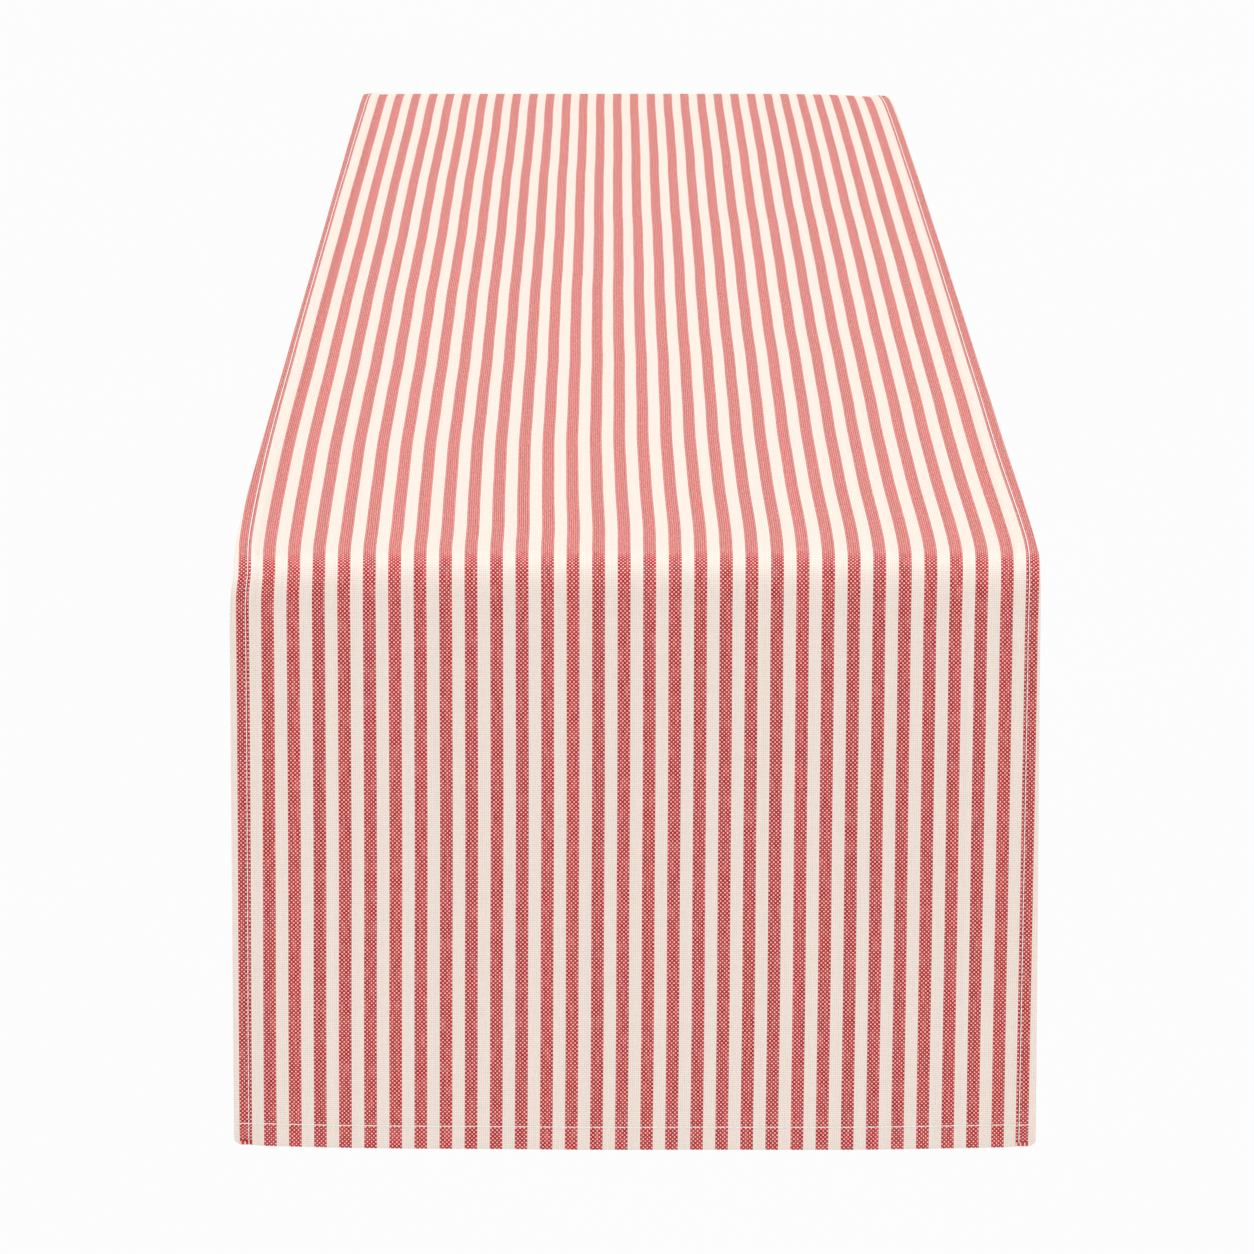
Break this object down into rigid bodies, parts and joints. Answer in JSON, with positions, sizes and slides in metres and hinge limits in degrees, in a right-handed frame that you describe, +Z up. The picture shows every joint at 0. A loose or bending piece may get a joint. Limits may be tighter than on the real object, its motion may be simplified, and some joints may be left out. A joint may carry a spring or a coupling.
{
  "type": "table runner",
  "caption": "Long narrow table runner of woven cotton with fine lengthwise stripes and hemmed edges, lying over a tabletop and hanging at both ends.",
  "frame": {"origin": "middle of the face that lies on the tabletop", "axes": "X across the runner, +Y along it towards the back end, +Z up; the front end hangs at -Y"},
  "size_m": [0.33, 1.8092, 0.2494],
  "materials": {
    "striped_cloth": "plain-woven cotton, red and cream stripes, matt with a soft sheen",
    "needle_thread": "cream sewing thread, matt",
    "bobbin_thread": "cream sewing thread, matt"
  },
  "bodies": {
    "runner_top": {"top_panel": "striped_cloth", "top_hem_left": "striped_cloth", "top_needle_thread_left": "needle_thread", "top_bobbin_thread_left": "bobbin_thread", "top_hem_right": "striped_cloth", "top_needle_thread_right": "needle_thread", "top_bobbin_thread_right": "bobbin_thread"},
    "front_drop": {"front_bend_panel": "striped_cloth", "front_drop_panel": "striped_cloth", "front_bend_hem_left": "striped_cloth", "front_drop_hem_left": "striped_cloth", "front_needle_thread_left": "needle_thread", "front_bobbin_thread_left": "bobbin_thread", "front_bend_hem_right": "striped_cloth", "front_drop_hem_right": "striped_cloth", "front_needle_thread_right": "needle_thread", "front_bobbin_thread_right": "bobbin_thread", "front_end_hem": "striped_cloth", "front_end_needle_thread": "needle_thread", "front_end_bobbin_thread": "bobbin_thread"},
    "back_drop": {"back_bend_panel": "striped_cloth", "back_drop_panel": "striped_cloth", "back_bend_hem_left": "striped_cloth", "back_drop_hem_left": "striped_cloth", "back_needle_thread_left": "needle_thread", "back_bobbin_thread_left": "bobbin_thread", "back_bend_hem_right": "striped_cloth", "back_drop_hem_right": "striped_cloth", "back_needle_thread_right": "needle_thread", "back_bobbin_thread_right": "bobbin_thread", "back_end_hem": "striped_cloth", "back_end_needle_thread": "needle_thread", "back_end_bobbin_thread": "bobbin_thread"}
  },
  "joints": [
    {"name": "front_drop_lift", "type": "hinge", "parent": "runner_top", "child": "front_drop", "pos_m": [0, -0.89909, -0.00309], "axis": [-1, 0, 0], "range_deg": [0, 90]},
    {"name": "back_drop_lift", "type": "hinge", "parent": "runner_top", "child": "back_drop", "pos_m": [0, 0.89909, -0.00309], "axis": [1, 0, 0], "range_deg": [0, 90]}
  ]
}
